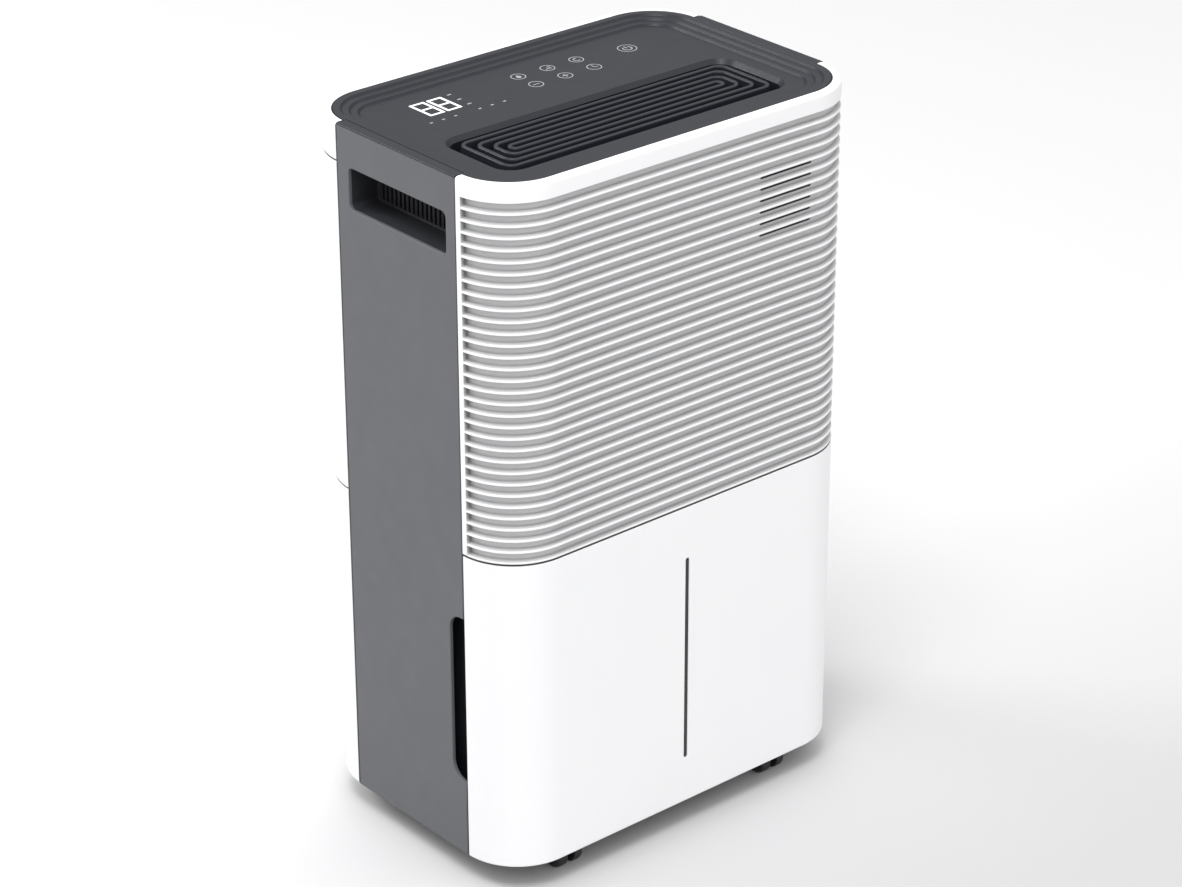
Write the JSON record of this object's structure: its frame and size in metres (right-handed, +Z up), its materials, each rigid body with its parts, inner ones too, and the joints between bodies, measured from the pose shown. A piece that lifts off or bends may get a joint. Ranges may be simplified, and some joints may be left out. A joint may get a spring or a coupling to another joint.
{
  "type": "dehumidifier",
  "caption": "Upright portable dehumidifier with a ribbed front, touch-control top with a looped outlet grille, pull-out water tank, side hand recesses and swivel casters.",
  "frame": {"origin": "on the floor under the middle of the case", "axes": "+Z up, front with the water tank towards -Y, user's right towards +X"},
  "size_m": [0.3184, 0.213, 0.52],
  "materials": {
    "white_plastic": "smooth satin-gloss white ABS",
    "grey_plastic": "fine-grained mid grey ABS",
    "lid_plastic": "fine-grained dark grey ABS",
    "black_plastic": "black moulded plastic",
    "tank_plastic": "dark grey polypropylene",
    "smoked_window": "smoked clear plastic",
    "float_foam": "closed-cell foam",
    "filter_net": "woven nylon net",
    "rubber": "soft black rubber",
    "steel": "zinc-plated steel",
    "black_paint": "black enamelled steel",
    "copper": "bare copper tube",
    "aluminium": "mill aluminium fins",
    "circuit_board": "green solder mask"
  },
  "bodies": {
    "case": {"accumulator": "black_paint", "base_pan": "black_plastic", "capacitor": "aluminium", "capillary_tube": "copper", "chassis": "white_plastic", "compressor": "black_paint", "compressor_bush_1": "rubber", "compressor_bush_2": "rubber", "compressor_bush_3": "rubber", "condenser": "aluminium", "control_board": "circuit_board", "discharge_pipe": "copper", "display_module": "black_plastic", "drain_hose": "rubber", "drain_spout": "white_plastic", "drip_tray": "white_plastic", "evaporator": "aluminium", "fan_motor": "steel", "fan_scroll": "black_plastic", "front_shell": "white_plastic", "handle_pocket_left": "black_plastic", "handle_pocket_right": "black_plastic", "humidity_sensor": "circuit_board", "level_switch": "black_plastic", "outlet_grille": "lid_plastic", "power_gland": "black_plastic", "rear_lower_shell": "white_plastic", "rear_screw_1": "steel", "rear_screw_2": "steel", "rear_screw_3": "steel", "rear_screw_4": "steel", "rear_top_band": "white_plastic", "side_panel_left": "grey_plastic", "side_panel_right": "grey_plastic", "suction_pipe": "copper", "top_lid": "lid_plastic"},
    "fan": {"fan_impeller": "black_plastic", "fan_shaft": "steel"},
    "tank": {"tank_bucket": "tank_plastic", "tank_front_panel": "white_plastic", "level_window": "smoked_window"},
    "tank_bail": {"tank_handle": "grey_plastic"},
    "tank_float": {"float": "float_foam"},
    "intake_panel": {"intake_grille": "white_plastic", "filter_frame": "black_plastic", "filter_mesh": "filter_net"},
    "drain_plug": {"drain_cap": "rubber"},
    "swivel_front_left": {"caster_housing_front_left": "black_plastic"},
    "rollers_front_left": {"caster_wheels_front_left": "black_plastic"},
    "swivel_front_right": {"caster_housing_front_right": "black_plastic"},
    "rollers_front_right": {"caster_wheels_front_right": "black_plastic"},
    "swivel_rear_left": {"caster_housing_rear_left": "black_plastic"},
    "rollers_rear_left": {"caster_wheels_rear_left": "black_plastic"},
    "swivel_rear_right": {"caster_housing_rear_right": "black_plastic"},
    "rollers_rear_right": {"caster_wheels_rear_right": "black_plastic"}
  },
  "joints": [
    {"name": "tank_slide", "type": "slide", "parent": "case", "child": "tank", "axis": [0, -1, 0], "range_m": [0, 0.15]},
    {"name": "tank_handle_hinge", "type": "hinge", "parent": "tank", "child": "tank_bail", "pos_m": [0, -0.05, 0.196], "axis": [1, 0, 0], "range_deg": [0, 90]},
    {"name": "float_hinge", "type": "hinge", "parent": "tank", "child": "tank_float", "pos_m": [0.117, -0.012, 0.17], "axis": [-1, 0, 0], "range_deg": [0, 20]},
    {"name": "intake_panel_tilt", "type": "hinge", "parent": "case", "child": "intake_panel", "pos_m": [0, 0.1065, 0.2546], "axis": [-1, 0, 0], "range_deg": [0, 30]},
    {"name": "drain_cap_pull", "type": "slide", "parent": "case", "child": "drain_plug", "axis": [0, 1, 0], "range_m": [0, 0.025]},
    {"name": "fan_spin", "type": "hinge", "parent": "case", "child": "fan", "pos_m": [0, -0.034, 0.385], "axis": [0, 1, 0], "continuous": true},
    {"name": "swivel_front_left_turn", "type": "hinge", "parent": "case", "child": "swivel_front_left", "pos_m": [-0.0955, -0.078, 0.03], "axis": [0, 0, 1], "continuous": true},
    {"name": "rollers_front_left_roll", "type": "hinge", "parent": "swivel_front_left", "child": "rollers_front_left", "pos_m": [-0.0955, -0.086, 0.01], "axis": [1, 0, 0], "continuous": true},
    {"name": "swivel_front_right_turn", "type": "hinge", "parent": "case", "child": "swivel_front_right", "pos_m": [0.0955, -0.078, 0.03], "axis": [0, 0, 1], "continuous": true},
    {"name": "rollers_front_right_roll", "type": "hinge", "parent": "swivel_front_right", "child": "rollers_front_right", "pos_m": [0.0955, -0.086, 0.01], "axis": [1, 0, 0], "continuous": true},
    {"name": "swivel_rear_left_turn", "type": "hinge", "parent": "case", "child": "swivel_rear_left", "pos_m": [-0.0955, 0.08, 0.03], "axis": [0, 0, 1], "continuous": true},
    {"name": "rollers_rear_left_roll", "type": "hinge", "parent": "swivel_rear_left", "child": "rollers_rear_left", "pos_m": [-0.0955, 0.072, 0.01], "axis": [1, 0, 0], "continuous": true},
    {"name": "swivel_rear_right_turn", "type": "hinge", "parent": "case", "child": "swivel_rear_right", "pos_m": [0.0955, 0.08, 0.03], "axis": [0, 0, 1], "continuous": true},
    {"name": "rollers_rear_right_roll", "type": "hinge", "parent": "swivel_rear_right", "child": "rollers_rear_right", "pos_m": [0.0955, 0.072, 0.01], "axis": [1, 0, 0], "continuous": true}
  ]
}
